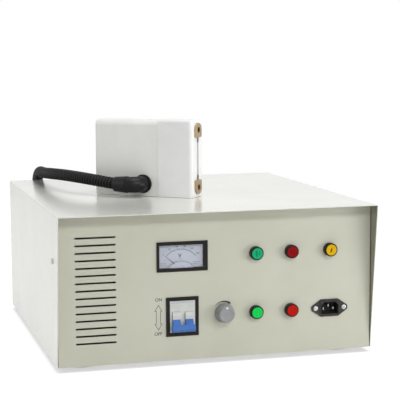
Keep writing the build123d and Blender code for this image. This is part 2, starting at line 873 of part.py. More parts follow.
terminal_foot = terminal_inset + terminal_size
terminal_spots = [(terminal_foot, -1), (block_height - terminal_foot, 1)]
with BuildPart() as electrode_terminals:
    for rise, up in terminal_spots:
        with BuildSketch(head_face(block_length, terminal_back, rise, (1, 0, 0), (0, 0, up))):
            with BuildLine():
                Polyline(
                    (-terminal_size / 2, terminal_size * 0.6),
                    (-terminal_size / 2, 1.5),
                    (-terminal_size / 2 + 1.5, 0),
                    (terminal_size / 2 - 1.5, 0),
                    (terminal_size / 2, 1.5),
                    (terminal_size / 2, terminal_size * 0.6),
                )
                ThreePointArc(
                    (terminal_size / 2, terminal_size * 0.6),
                    (0, terminal_size),
                    (-terminal_size / 2, terminal_size * 0.6),
                )
            make_face()
            with Locations((0, terminal_size * 0.52)):
                Circle(terminal_hole, mode=Mode.SUBTRACT)
        extrude(amount=terminal_sheet)
write(electrode_terminals.part, "electrode_terminals")

with BuildPart() as terminal_screws:
    for rise, up in terminal_spots:
        with BuildSketch(head_face(block_length, terminal_back, rise, (1, 0, 0), (0, 0, up))):
            with Locations((0, terminal_size * 0.52)):
                Circle(terminal_hole - fit_gap)
        extrude(amount=terminal_sheet - 0.5)
        with BuildSketch(
            head_face(
                block_length + terminal_sheet - 0.5, terminal_back, rise, (1, 0, 0), (0, 0, up)
            )
        ):
            with Locations((0, terminal_size * 0.52)):
                RegularPolygon(terminal_hole * 0.55, 6)
        extrude(amount=-1.5, mode=Mode.SUBTRACT)
write(terminal_screws.part, "terminal_screws")

wire_length = block_height - 2 * terminal_foot
wire_origin = head_plane.from_local_coords(
    (block_length + terminal_sheet / 2, terminal_back, terminal_foot)
)
with BuildPart() as electrode_wire:
    with BuildSketch(Plane(origin=wire_origin)):
        Circle(wire_radius)
    extrude(amount=wire_length)
    for end in (0, wire_length - ferrule_length):
        with BuildSketch(Plane(origin=wire_origin).offset(end)):
            Circle(ferrule_radius)
        extrude(amount=ferrule_length)
write(electrode_wire.part, "electrode_wire")

# Elbow fitting on the head
elbow_spot = head_face(-elbow_from_joint, -housing_thickness / 2, elbow_rise, (0, -1, 0))
elbow_bed = Plane(origin=elbow_spot.origin, x_dir=elbow_spot.x_dir, z_dir=-elbow_spot.y_dir)
sleeve_start = elbow_bend + 2.0
sleeve_spot = head_face(
    -elbow_from_joint - sleeve_start,
    -housing_thickness / 2 - elbow_reach,
    elbow_rise,
    (-1, 0, 0),
)
with BuildPart() as hose_elbow:
    with BuildSketch(elbow_spot):
        Circle(elbow_flange_radius)
    extrude(amount=elbow_flange_sheet)
    fillet(hose_elbow.edges().filter_by(GeomType.CIRCLE), 1.0)
    with BuildSketch(elbow_spot.offset(elbow_flange_sheet)):
        Circle(elbow_neck_radius + 0.8)
    extrude(amount=2.0)
    with BuildLine(elbow_bed) as elbow_path:
        FilletPolyline(
            (0, elbow_flange_sheet - 0.5),
            (0, elbow_reach),
            (-sleeve_start - 3, elbow_reach),
            radius=elbow_bend,
        )
    with BuildSketch(elbow_spot.offset(elbow_flange_sheet - 0.5)):
        Circle(elbow_neck_radius)
    sweep(path=elbow_path.line)
    with BuildSketch(sleeve_spot):
        Circle(elbow_socket_radius)
    sleeve_length = elbow_leg - sleeve_start
    sleeve_taper = degrees(atan((elbow_socket_radius - elbow_mouth_radius) / sleeve_length))
    extrude(amount=sleeve_length, taper=sleeve_taper)
    fillet(hose_elbow.faces().sort_by(head_axis)[0].edges(), 0.9)
write(hose_elbow.part, "hose_elbow")

# Hose gland on the rear panel
gland_plane = rear_plane(gland_x, gland_rise)
with BuildPart() as hose_gland:
    with BuildSketch(gland_plane):
        Circle(gland_flange_radius)
    extrude(amount=3.0)
    with BuildSketch(gland_plane.offset(3.0)):
        RegularPolygon(gland_flange_radius - 0.5, 6)
    extrude(amount=gland_stand - 11.0)
    with BuildSketch(gland_plane.offset(gland_stand - 8.0)):
        Circle(gland_flange_radius - 1.5)
    extrude(amount=8.0)
    fillet(hose_gland.faces().sort_by(Axis.Y)[-1].edges(), 2.0)
    with BuildSketch(gland_plane):
        Circle(gland_thread_radius)
    extrude(amount=-(panel_sheet + 9.0))
write(hose_gland.part, "hose_gland")

with BuildPart() as gland_nut:
    with BuildSketch(gland_plane.offset(-panel_sheet)):
        RegularPolygon(gland_flange_radius, 6)
        Circle(gland_thread_radius + 0.02, mode=Mode.SUBTRACT)
    extrude(amount=-5.0)
write(gland_nut.part, "gland_nut")

# Hose: the points that its middle line turns at, from the elbow to the coil on the
# standing surface behind the cabinet, and from the gland to the coil
head_route = [
    (-100.7, -32.5, 221.4),
    (-132.0, -6.6, 225.5),
    (-157.0, 42.0, 228.0),
    (-170.0, 103.0, 225.0),
    (-175.0, 163.0, 220.0),
    (-176.0, 219.0, 221.0),
    (-175.0, 266.0, 197.0),
    (-173.0, 297.0, 155.0),
    (-171.5, 309.0, 110.0),
    (-170.5, 316.0, 72.0),
    (-170.0, 338.0, 31.5),
    (-169.5, 378.0, 8.0),
    (-170.0, 426.0, 8.0),
]
gland_route = [
    (10.0, 257.0, 69.0),
    (10.6, 302.0, 66.0),
    (9.6, 346.0, 53.0),
    (10.4, 388.0, 47.5),
    (10.0, 426.0, 48.0),
]
coil_middle = (-80.0, 426.0)


def hose_tube(name, route):
    """A length of hose along its route, each turn rounded as wide as its runs allow."""
    points = [Vector(*point) for point in route]
    runs = [after - before for before, after in zip(points, points[1:])]
    radii = [
        0.45 * min(a.length, b.length) / tan(radians(a.get_angle(b) / 2))
        for a, b in zip(runs, runs[1:])
    ]
    with BuildPart() as tube:
        with BuildLine() as middle:
            FilletPolyline(*points, radius=radii)
        with BuildSketch(middle.line ^ 0):
            Circle(hose_diameter / 2)
        sweep(path=middle.line)
    length = middle.wires()[0].length
    ratio = tube.part.volume / (length * pi * hose_diameter**2 / 4)
    print(name, "radii", [round(radius) for radius in radii])
    print(name, "length", round(length, 1), "volume ratio", round(ratio, 4))
    write(tube.part, name)


hose_tube("hose_from_head", head_route)
hose_tube("hose_to_gland", gland_route)

with BuildPart() as hose_coil:
    with BuildSketch():
        with Locations(coil_middle):
            Circle(coil_radius + hose_diameter / 2)
            Circle(coil_radius - hose_diameter / 2, mode=Mode.SUBTRACT)
    extrude(amount=(coil_turns + 1) * hose_diameter)
write(hose_coil.part, "hose_coil")

# Fan
fan_back = tray_back


def fan_plane(depth):
    """A plane across the fan at a depth in front of the rear panel, facing forward."""
    return Plane(origin=(fan_x, fan_back - depth, base_z + fan_rise), x_dir=(1, 0, 0), z_dir=(0, -1, 0))


with BuildPart() as fan_frame:
    with BuildSketch(fan_plane(0)):
        RectangleRounded(fan_size, fan_size, 4)
        Circle(fan_bore, mode=Mode.SUBTRACT)
        with GridLocations(fan_pitch, fan_pitch, 2, 2):
            Circle(screw_radius, mode=Mode.SUBTRACT)
    extrude(amount=fan_depth)
    with BuildSketch(fan_plane(0)):
        Circle(fan_hub_radius)
        with PolarLocations(0, 3):
            Rectangle(fan_bore + 1, 4, align=(Align.MIN, Align.CENTER))
    extrude(amount=fan_strut)
    with BuildSketch(fan_plane(fan_strut)):
        Circle(fan_pin_radius)
    extrude(amount=fan_depth - fan_strut - 5)
write(fan_frame.part, "fan_frame")

with BuildPart() as fan_rotor:
    with BuildSketch(fan_plane(fan_strut + 0.8)):
        Circle(fan_hub_radius)
    extrude(amount=fan_depth - fan_strut - 2)
    fillet(fan_rotor.faces().sort_by(Axis.Y)[0].edges(), 1.5)
    with BuildSketch(fan_plane(fan_strut + 0.8)):
        Circle(fan_pin_radius + turn_gap)
    extrude(amount=fan_depth - fan_strut - 5, mode=Mode.SUBTRACT)
    for blade in range(fan_blades):
        root = Plane(
            origin=(fan_x, fan_back - fan_depth / 2 - 1, base_z + fan_rise), z_dir=(0, 0, 1)
        ).rotated((0, 360 / fan_blades * blade, 0))
        with BuildSketch(root.offset(fan_hub_radius - 2)):
            Rectangle(blade_chord, 1.4, rotation=48)
        with BuildSketch(root.offset(fan_bore - 1.2)):
            Rectangle(blade_chord, 1.2, rotation=28)
        loft()
write(fan_rotor.part, "fan_rotor")

with BuildPart() as fan_guard:
    with BuildSketch(rear_plane(fan_x, fan_rise, guard_stand)):
        for ring in guard_rings:
            Circle(ring)
            Circle(ring - guard_wire, mode=Mode.SUBTRACT)
        with PolarLocations(0, 4, start_angle=45):
            Rectangle(lug_reach, guard_wire, align=(Align.MIN, Align.CENTER))
    extrude(amount=guard_wire)
    with BuildSketch(rear_plane(fan_x, fan_rise)):
        with GridLocations(fan_pitch, fan_pitch, 2, 2):
            Circle(lug_radius)
            Circle(screw_radius, mode=Mode.SUBTRACT)
    extrude(amount=guard_wire)
    with BuildSketch(rear_plane(fan_x, fan_rise)):
        with PolarLocations(lug_reach - guard_wire / 2, 4, start_angle=45):
            Rectangle(guard_wire, guard_wire)
    extrude(amount=guard_stand + guard_wire)
write(fan_guard.part, "fan_guard")

with BuildPart() as fan_screws:
    with BuildSketch(rear_plane(fan_x, fan_rise, guard_wire)):
        with GridLocations(fan_pitch, fan_pitch, 2, 2):
            Circle(screw_head_radius)
    extrude(amount=screw_head, taper=20)
    with BuildSketch(rear_plane(fan_x, fan_rise, guard_wire)):
        with GridLocations(fan_pitch, fan_pitch, 2, 2):
            Circle(screw_radius - fit_gap)
    extrude(amount=-(guard_wire + panel_sheet + fan_depth + 3))
write(fan_screws.part, "fan_screws")

# High voltage transformer, standing on the tray on its feet
with BuildPart() as transformer_core:
    with BuildSketch(Plane.XZ.offset(-(transformer_y - core_stack / 2))):
        with Locations((transformer_x, tray_top)):
            Rectangle(core_width, core_height, align=(Align.CENTER, Align.MIN))
        with Locations(
            (transformer_x - core_window_x, tray_top + core_height / 2),
            (transformer_x + core_window_x, tray_top + core_height / 2),
        ):
            Rectangle(core_window, core_height - 2 * core_yoke, mode=Mode.SUBTRACT)
        with Locations((transformer_x, tray_top)):
            Rectangle(core_width + 2 * core_foot, core_foot_sheet, align=(Align.CENTER, Align.MIN))
    extrude(amount=-core_stack)
write(transformer_core.part, "transformer_core")

with BuildPart() as transformer_winding:
    with BuildSketch(Plane.XY.offset(tray_top + core_yoke + fit_gap)):
        with Locations((transformer_x, transformer_y)):
            RectangleRounded(winding_width, core_stack + 2 * winding_proud, 6)
            Rectangle(
                2 * core_window_x - core_window + 2 * fit_gap,
                core_stack + 2 * fit_gap,
                mode=Mode.SUBTRACT,
            )
    extrude(amount=core_height - 2 * core_yoke - 2 * fit_gap)
write(transformer_winding.part, "transformer_winding")

# Driver board on its pillars, with its heat sink and capacitors
board_z = tray_top + pillar_height
pillar_width = board_width - 2 * pillar_inset
pillar_depth = board_length - 2 * pillar_inset
with BuildPart() as board_pillars:
    with BuildSketch(Plane.XY.offset(tray_top)):
        with Locations((board_x, board_y)):
            with GridLocations(pillar_width, pillar_depth, 2, 2):
                RegularPolygon(3.2, 6)
    extrude(amount=pillar_height)
write(board_pillars.part, "board_pillars")

with BuildPart() as driver_board:
    with BuildSketch(Plane.XY.offset(board_z)):
        with Locations((board_x, board_y)):
            Rectangle(board_width, board_length)
    extrude(amount=board_sheet)
    with BuildSketch(Plane.XY.offset(board_z + board_sheet)):
        with Locations((board_x - board_width / 2 + relay_inset, board_y + relay_shift)):
            with GridLocations(0, relay_pitch, 1, 2):
                Rectangle(relay_length, relay_width)
    extrude(amount=relay_height)
    with BuildSketch(Plane.XY.offset(board_z + board_sheet)):
        with Locations((board_x + strip_shift, board_y - board_length / 2 + strip_inset)):
            Rectangle(strip_length, strip_width)
    extrude(amount=strip_height)
write(driver_board.part, "driver_board")

with BuildPart() as board_capacitors:
    with BuildSketch(Plane.XY.offset(board_z + board_sheet)):
        for step in range(3):
            place = board_x + capacitor_first + capacitor_pitch * step
            with Locations((place, board_y + capacitor_back)):
                Circle(capacitor_radius)
    extrude(amount=capacitor_height)
    fillet(board_capacitors.faces().group_by(Axis.Z)[-1].edges(), 1.2)
write(board_capacitors.part, "board_capacitors")

with BuildPart() as heat_sink:
    with BuildSketch(Plane.YZ.offset(board_x + sink_shift - sink_length / 2)):
        with Locations((board_y + sink_back, board_z + board_sheet)):
            Rectangle(sink_width, sink_floor, align=(Align.CENTER, Align.MIN))
            with GridLocations((sink_width - fin_sheet) / (fin_count - 1), 0, fin_count, 1):
                Rectangle(fin_sheet, sink_height, align=(Align.CENTER, Align.MIN))
    extrude(amount=sink_length)
write(heat_sink.part, "heat_sink")
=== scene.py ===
"""Looks of the bench surface treater: a steel generator cabinet with a meter, a breaker, a knob,
lamps, buttons and a mains inlet, and a white treating head that stands on it at the end of a
corrugated hose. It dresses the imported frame, in metres, +Z up, with the front panel facing -Y."""

import math

import bpy
import numpy as np
from mathutils import Matrix, Vector


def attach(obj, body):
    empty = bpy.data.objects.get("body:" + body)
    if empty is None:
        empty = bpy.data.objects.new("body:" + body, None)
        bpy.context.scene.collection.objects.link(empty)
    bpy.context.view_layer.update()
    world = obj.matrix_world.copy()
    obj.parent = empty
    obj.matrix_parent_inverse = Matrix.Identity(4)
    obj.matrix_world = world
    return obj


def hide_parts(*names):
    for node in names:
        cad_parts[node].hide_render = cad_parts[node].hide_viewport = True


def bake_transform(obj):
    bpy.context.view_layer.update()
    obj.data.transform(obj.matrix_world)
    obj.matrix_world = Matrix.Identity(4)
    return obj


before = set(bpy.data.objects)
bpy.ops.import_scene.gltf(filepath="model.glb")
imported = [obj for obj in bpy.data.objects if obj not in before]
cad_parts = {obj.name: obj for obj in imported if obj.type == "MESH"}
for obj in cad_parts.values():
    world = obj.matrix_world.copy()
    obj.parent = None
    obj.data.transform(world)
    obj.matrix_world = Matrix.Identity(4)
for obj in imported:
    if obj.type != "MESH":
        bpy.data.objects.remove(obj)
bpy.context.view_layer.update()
MM = 0.001

# Places and sizes on the object, in millimetres and degrees, the same as in the part's source
# where it has them. A spot is its x, or its y on a side, and its height above the base
panel_y = -210.5
base_z = 7.0
top_z = 203.6
cabinet_half = 214.4
rear_y = 230.5
window_x = -50.05
window_rise = 136.6
window_high = 30.2
dial_face = panel_y + 3.7
pivot_drop = 2.2
needle_swing = 98.0
scale_radius = 26.1
knob_spot = (7.4, 59.2)
knob_length = 14.9
breaker_spot = (-49.2, 57.6)
switch_print_x = -81.2
face_spots = {
    "run_lamp_lens": (50.8, 136.6),
    "stop_lamp_lens": (99.6, 136.6),
    "power_lamp_lens": (154.0, 136.6),
    "start_button": (50.8, 58.0),
    "stop_button": (99.6, 58.0),
}
face_radius = 7.0
works_rib = 4.735
inlet_spot = (154.2, 57.5)
inlet_screw_reach = 20.0
fan_spot = (118.0, 104.0)
fan_screw_reach = 35.75
side_screw_spot = (-189.0, 135.0)
rear_screw_reach = 206.2
rear_screw_rises = (42.0, 150.0)
hose_diameter = 16.0

# The floor's size and its middle, in millimetres
floor_radius = 1700.0
floor_middle_y = 150.0

# Camera of the photograph: its place in millimetres, its turn, tilt and roll in degrees, and
# its lens in millimetres
camera_spot = (-470.8, -1838.6, 417.0)
camera_turn = 15.327
camera_tilt = -6.785
camera_roll = -0.306
camera_lens = 118.4


def linear(code):
    """The linear colour of an sRGB hex code."""
    values = np.array([int(code[place : place + 2], 16) for place in (1, 3, 5)]) / 255
    curved = np.where(values <= 0.04045, values / 12.92, ((values + 0.055) / 1.055) ** 2.4)
    return (*curved.tolist(), 1.0)


def add(tree, kind, inputs=None, **settings):
    """A node of the tree with its settings. Each input is a value or another node's socket."""
    made = tree.nodes.new("ShaderNode" + kind)
    for setting, value in settings.items():
        setattr(made, setting, value)
    for socket, value in (inputs or {}).items():
        if isinstance(value, bpy.types.NodeSocket):
            tree.links.new(value, made.inputs[socket])
        else:
            made.inputs[socket].default_value = value
    return made


def new_material(name):
    """A material with no nodes yet, and its tree."""
    material = bpy.data.materials.new(name)
    material.use_nodes = True
    material.node_tree.nodes.clear()
    return material, material.node_tree


def painted_shade_below(tree, value, limit, tone, colour):
    """The tone where the value is above the limit, and a plain colour of painted shade where it is
    below.
    """
    below = add(tree, "Math", {0: value, 1: limit}, operation="LESS_THAN")
    return add(
        tree,
        "Mix",
        {"Factor": below.outputs["Value"], 6: tone.outputs[2], 7: linear(colour)},
        data_type="RGBA",
    )


def finish(
    name,
    colour,
    second,
    roughness,
    mottle=30.0,
    grain=0.5,
    height=0.01,
    metallic=0.0,
    ior=1.5,
    coat=0.0,
    stretch=(1, 1, 1),
    rough_span=0.06,
    share=0.5,
    shine=0.5,
    inner_shade=None,
    cut=None,
):
    """A solid surface: two near colours in patches of mottle millimetres, share of them the
    second colour, and a grain in millimetres that stands height millimetres high and may be
    stretched along an axis. The roughness varies by rough_span, and shine is how much the bare
    surface mirrors. Faces that look towards the cabinet's middle can be given a plain colour of
    painted shade, and so can the cut edges of a sheet that stands across Y."""
    material, tree = new_material(name)
    seat = add(tree, "TexCoord")
    stretched = add(tree, "Mapping", {"Vector": seat.outputs["Object"], "Scale": stretch})
    place = stretched.outputs["Vector"]
    patches = add(tree, "TexNoise", {"Vector": place, "Scale": 1 / (mottle * MM), "Detail": 4.0})
    low, high = 0.7 - share * 0.6, 0.9 - share * 0.4
    blend = add(
        tree, "MapRange", {"Value": patches.outputs["Fac"], "From Min": low, "From Max": high}
    )
    tone = add(
        tree,
        "Mix",
        {"Factor": blend.outputs["Result"], 6: linear(colour), 7: linear(second)},
        data_type="RGBA",
    )
    # Faces that look towards the cabinet's middle take a plain colour of painted shade
    if inner_shade:
        outward = add(
            tree,
            "VectorMath",
            {0: seat.outputs["Object"], 1: (0, 0, 0.5 * top_z * MM)},
            operation="SUBTRACT",
        )
        facing = add(
            tree,
            "VectorMath",
            {0: outward.outputs["Vector"], 1: seat.outputs["Normal"]},
            operation="DOT_PRODUCT",
        )
        tone = painted_shade_below(tree, facing.outputs["Value"], 0.0, tone, inner_shade)
    # Cut edges of a sheet across Y take a plain colour of painted shade, as in slots and holes
    if cut:
        across = add(
            tree, "VectorMath", {0: seat.outputs["Normal"], 1: (0, 1, 0)}, operation="DOT_PRODUCT"
        )
        size = add(tree, "Math", {0: across.outputs["Value"]}, operation="ABSOLUTE")
        tone = painted_shade_below(tree, size.outputs["Value"], 0.5, tone, cut)
    bits = add(tree, "TexNoise", {"Vector": place, "Scale": 1 / (grain * MM), "Detail": 3.0})
    gloss = add(
        tree,
        "MapRange",
        {
            "Value": bits.outputs["Fac"],
            "From Min": 0.3,
            "From Max": 0.7,
            "To Min": roughness - rough_span / 2,
            "To Max": roughness + rough_span / 2,
        },
    )
    relief = add(
        tree, "Bump", {"Height": bits.outputs["Fac"], "Distance": height * MM, "Strength": 1.0}
    )
    shader = add(
        tree,
        "BsdfPrincipled",
        {
            "Base Color": tone.outputs[2],
            "Roughness": gloss.outputs["Result"],
            "Normal": relief.outputs["Normal"],
            "Metallic": metallic,
            "IOR": ior,
            "Specular IOR Level": shine,
            "Coat Weight": coat,
            "Coat Roughness": 0.15,
        },
    )
    add(tree, "OutputMaterial", {"Surface": shader.outputs["BSDF"]})
    return material


def painted_groove_shade(material, shade_colour):
    """Paints shade into a finish's grooves: darkens it where the piece's own crest value, one on a
    rib's crest, goes to nought.
    """
    tree = material.node_tree
    shader = next(made for made in tree.nodes if made.type == "BSDF_PRINCIPLED")
    tone = shader.inputs["Base Color"].links[0].from_socket
    crest = add(tree, "Attribute", attribute_name="crest")
    mixed = add(
        tree,
        "Mix",
        {"Factor": crest.outputs["Fac"], 6: linear(shade_colour), 7: tone},
        data_type="RGBA",
    )
    tree.links.new(mixed.outputs[2], shader.inputs["Base Color"])


def lamp_plastic(name, colour, core, node, mark):
    """Tinted polycarbonate or a moulded cap: bright, with the dark works behind showing through
    as a mark (half width, half height, turn in degrees) at the node's middle, and a dark edge of
    painted shade where it sits in its black ring. The works are ribbed, works_rib millimetres
    apart, and the wave texture runs through twenty radians in each unit."""
    material, tree = new_material(name)
    place = add(tree, "TexCoord").outputs["Object"]
    spot = face_spots[node]
    middle = (spot[0] * MM, panel_y * MM, (base_z + spot[1]) * MM)
    local = add(
        tree,
        "Mapping",
        {
            "Vector": place,
            "Location": middle,
            "Rotation": (0, math.radians(mark[2]), 0),
            "Scale": (mark[0] * MM, 1.0, mark[1] * MM),
        },
        vector_type="TEXTURE",
    ).outputs["Vector"]
    flat = add(tree, "VectorMath", {0: local, 1: (1, 0, 1)}, operation="MULTIPLY")
    away = add(tree, "VectorMath", {0: flat.outputs["Vector"]}, operation="LENGTH")
    works = add(
        tree, "MapRange", {"Value": away.outputs["Value"], "From Min": 1.15, "From Max": 0.75}
    )
    ribs = add(
        tree,
        "TexWave",
        {"Vector": place, "Scale": 2 * math.pi / (20 * works_rib * MM), "Distortion": 1.5},
        bands_direction="X",
    )
    dark = add(
        tree, "Math", {0: works.outputs["Result"], 1: ribs.outputs["Fac"]}, operation="MULTIPLY"
    )
    tone = add(
        tree,
        "Mix",
        {"Factor": dark.outputs["Value"], 6: linear(colour), 7: linear(core)},
        data_type="RGBA",
    )
    offset = add(tree, "VectorMath", {0: place, 1: middle}, operation="SUBTRACT")
    plane = add(
        tree, "VectorMath", {0: offset.outputs["Vector"], 1: (1, 0, 1)}, operation="MULTIPLY"
    )
    reach = add(tree, "VectorMath", {0: plane.outputs["Vector"]}, operation="LENGTH")
    # A dark rim of painted shade round the face, where it sits in its black ring
    edge = add(
        tree,
        "MapRange",
        {
            "Value": reach.outputs["Value"],
            "From Min": face_radius * MM,
            "From Max": (face_radius + 0.35) * MM,
        },
    )
    tone = add(
        tree,
        "Mix",
        {"Factor": edge.outputs["Result"], 6: tone.outputs[2], 7: linear("#15130f")},
        data_type="RGBA",
    )
    bits = add(tree, "TexNoise", {"Vector": place, "Scale": 1 / (0.3 * MM), "Detail": 2.0})
    relief = add(
        tree, "Bump", {"Height": bits.outputs["Fac"], "Distance": 0.006 * MM, "Strength": 1.0}
    )
    shader = add(
        tree,
        "BsdfPrincipled",
        {
            "Base Color": tone.outputs[2],
            "Normal": relief.outputs["Normal"],
            "Roughness": 0.3,
            "IOR": 1.58,
            "Specular IOR Level": 0.1,
        },
    )
    add(tree, "OutputMaterial", {"Surface": shader.outputs["BSDF"]})
    return material


def clear_acrylic(name):
    """Cast acrylic sheet: the card shows through, with a light sheen over it."""
    material, tree = new_material(name)
    through = add(tree, "BsdfTransparent", {"Color": linear("#ffffff")})
    sheen = add(tree, "BsdfGlossy", {"Color": linear("#ffffff"), "Roughness": 0.04})
    edge = add(tree, "Fresnel", {"IOR": 1.49})
    mixed = add(
        tree,
        "MixShader",
        {0: edge.outputs["Fac"], 1: through.outputs["BSDF"], 2: sheen.outputs["BSDF"]},
    )
    add(tree, "OutputMaterial", {"Surface": mixed.outputs["Shader"]})
    return material


# The finishes, each with its two colours, its roughness, and its mottle, grain and height
# Sheet steel, stoved in glossy cream enamel: broad soft reflections and a faint orange peel,
# and a much darker colour of painted shade on the faces that look towards the middle
cream_enamel = finish(
    "cream_stoved_enamel", "#e6e6df", "#e1e1d9", 0.22, 90, 2.4, 0.002, coat=0.34, rough_span=0.05,
    inner_shade="#949380",
)
# The same steel in satin beige paint: no clear reflections, a fine sprayed grain, and near
# black cut edges, painted shade in its slots and holes
beige_paint = finish(
    "beige_satin_paint", "#c9c9ba", "#c5c5b5", 0.42, 60, 0.8, 0.012, coat=0.05, rough_span=0.08,
    cut="#151513",
)
# Moulded ABS: near black, with a fine spark-eroded grain
black_abs = finish("black_moulded_abs", "#131210", "#191816", 0.46, 12, 0.35, 0.02, shine=0.2)
# The inlet's moulded polyamide: much the same grain, greyer and a little dusty
inlet_black = finish("moulded_black_polyamide", "#2c2c29", "#353531", 0.5, 5, 0.3, 0.02, shine=0.3)
# Nitrile rubber: dull black, a little dusty
foot_rubber = finish("black_nitrile_rubber", "#1d1c1b", "#2b2a28", 0.72, 6, 0.3, 0.03, shine=0.3)
# Zinc plated steel: cool grey with cloudy patches
zinc_plate = finish(
    "zinc_plated_steel", "#b9bbbb", "#9ea1a3", 0.33, 3, 0.25, 0.006, metallic=1.0, rough_span=0.14
)
# Chromed wire: bright and almost smooth
chrome_wire = finish(
    "bright_chromed_wire", "#d6d8da", "#c9cbce", 0.12, 8, 0.6, 0.002, metallic=1.0
)
# Turned brass, gone tan: warm and half dull
tan_brass = finish(
    "turned_tan_brass", "#b8a384", "#9c8968", 0.4, 4, 0.22, 0.008, metallic=1.0, rough_span=0.14
)
# Browned screw steel
brown_steel = finish(
    "browned_screw_steel", "#6e3f22", "#3d2312", 0.4, 2, 0.2, 0.006, metallic=0.8
)
# Drawn tungsten wire: dark grey with lines along it
electrode_metal = finish(
    "drawn_electrode_wire", "#8b8b88", "#6f6f6c", 0.3, 3, 0.2, 0.004, metallic=1.0,
    stretch=(1, 1, 0.1),
)
# Machined fluoropolymer: waxy white, with faint cutter lines and handling marks
head_polymer = finish(
    "machined_white_fluoropolymer", "#f5f6f2", "#f1f2ee", 0.4, 30, 0.9, 0.01, ior=1.38,
    stretch=(1, 1, 0.6), rough_span=0.1,
)
block_polymer = finish(
    "machined_bright_fluoropolymer", "#f6f7f7", "#f2f3f3", 0.34, 30, 0.9, 0.008, ior=1.38,
    stretch=(0.6, 0.6, 1), rough_span=0.1,
)
# Polyamide hose and its fittings: near black, with a soft shine on the ribs and painted shade in
# the hose's grooves
hose_polyamide = finish(
    "corrugated_polyamide", "#282727", "#302f2f", 0.34, 15, 0.5, 0.01, shine=0.14
)
painted_groove_shade(hose_polyamide, "#020202")
fitting_polyamide = finish(
    "moulded_polyamide", "#101012", "#151517", 0.34, 14, 0.4, 0.014, shine=0.22
)
# Moulded knob: mid grey with a soft sheen
knob_grey = finish("moulded_knob_grey", "#929496", "#8a8c8e", 0.34, 10, 0.3, 0.01)
# Thermoset of the breaker: cool white, and the blue of its levers
breaker_white = finish("moulded_breaker_white", "#ced0cd", "#c6c8c5", 0.38, 9, 0.3, 0.01)
lever_blue = finish("moulded_lever_blue", "#4273bf", "#3b69b3", 0.34, 9, 0.3, 0.01, shine=0.3)
# Coated card behind the meter's window, the acrylic of the window and the needle's paint
dial_card = finish("coated_dial_card", "#e9effe", "#e4eaf9", 0.6, 12, 0.2, 0.004)
window_acrylic = clear_acrylic("cast_acrylic_window")
needle_paint = finish("grey_painted_needle", "#5c5e68", "#686a74", 0.5, 3, 0.2, 0.002)
# Printing inks: thin, matt and even. The meter's is greyer, the knob's mark is white and the
# rule on the breaker is blue
print_ink = finish("printed_black_ink", "#2c2c28", "#35352f", 0.55, 2, 0.2, 0.001)
dark_ink = finish("printed_solid_ink", "#141412", "#1c1c1a", 0.5, 2, 0.2, 0.001)
dial_ink = finish("printed_dial_ink", "#3d4050", "#4a4d5e", 0.6, 2, 0.2, 0.001)
mark_paint = finish("white_pad_print", "#f2f3f3", "#eceded", 0.5, 2, 0.2, 0.001)
rule_ink = finish("printed_blue_rule", "#7f9bb0", "#8aa5b8", 0.5, 2, 0.2, 0.001)
# Inner parts: varnished core plates, taped winding, board, capacitors and an extruded sink
core_plates = finish(
    "varnished_core_plates", "#4a4a4c", "#38383a", 0.45, 8, 0.5, 0.05, metallic=0.7,
    stretch=(0.05, 1, 0.05),
)
winding_tape = finish(
    "wound_polyester_tape", "#c9a338", "#b8902c", 0.4, 14, 1.6, 0.05, stretch=(1, 1, 0.2)
)
board_mask = finish("soldermask_board", "#20603a", "#2c7a4c", 0.35, 2.2, 0.8, 0.03, share=0.3)
capacitor_sleeve = finish("shrunk_capacitor_sleeve", "#20263a", "#2a3148", 0.3, 12, 0.6, 0.01)
sink_aluminium = finish(
    "extruded_sink_aluminium", "#b4b6b9", "#a4a6aa", 0.4, 10, 0.35, 0.01, metallic=1.0,
    stretch=(1, 0.06, 1),
)
# Tinted polycarbonate of the three lamps, and moulded caps of the two push buttons: saturated,
# smooth and only a little glossy
run_green = lamp_plastic("tinted_run_green", "#14b076", "#04754a", "run_lamp_lens", (4.2, 4.6, 8))
stop_dark_red = lamp_plastic(
    "tinted_stop_red", "#8e0008", "#640004", "stop_lamp_lens", (3.6, 4.2, 0)
)
power_amber = lamp_plastic(
    "tinted_power_amber", "#dcae06", "#4a3a04", "power_lamp_lens", (1.5, 5.0, 28)
)
start_green = lamp_plastic("moulded_start_green", "#12d458", "#10ca52", "start_button", (6, 6, 0))
stop_red = lamp_plastic("moulded_stop_red", "#bd0c00", "#b20b00", "stop_button", (6, 6, 0))

node_finishes = [
    (cream_enamel, "top_cover base_tray"),
    (beige_paint, "front_panel rear_panel"),
    (black_abs, "meter_frame breaker_bezel lamp_rings button_rings panel_nuts"),
    (inlet_black, "inlet_housing"),
    (black_abs, "fan_frame fan_rotor"),
    (foot_rubber, "rubber_feet"),
    (zinc_plate, "foot_screws cover_side_screws cover_rear_screws inlet_screws fan_screws"),
    (zinc_plate, "knob_shaft potentiometer breaker_rail rail_bracket inlet_pins"),
    (chrome_wire, "fan_guard"),
    (tan_brass, "electrode_terminals board_pillars"),
    (brown_steel, "terminal_screws"),
    (electrode_metal, "electrode_wire"),
    (head_polymer, "head_housing"),
    (block_polymer, "head_end_block"),
    (fitting_polyamide, "hose_elbow hose_gland gland_nut"),
    (hose_polyamide, "hose_from_head hose_coil hose_to_gland"),
    (knob_grey, "power_knob"),
    (breaker_white, "breaker_body breaker_barrel"),
    (lever_blue, "breaker_levers"),
    (start_green, "start_button"),
    (stop_red, "stop_button"),
    (run_green, "run_lamp_lens"),
    (stop_dark_red, "stop_lamp_lens"),
    (power_amber, "power_lamp_lens"),
    (dial_card, "meter_dial"),
    (window_acrylic, "meter_window"),
    (needle_paint, "meter_needle"),
    (core_plates, "transformer_core"),
    (winding_tape, "transformer_winding"),
    (board_mask, "driver_board"),
    (capacitor_sleeve, "board_capacitors"),
    (sink_aluminium, "heat_sink"),
]
for material, names in node_finishes:
    for name in names.split():
        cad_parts[name].data.materials.clear()
        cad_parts[name].data.materials.append(material)


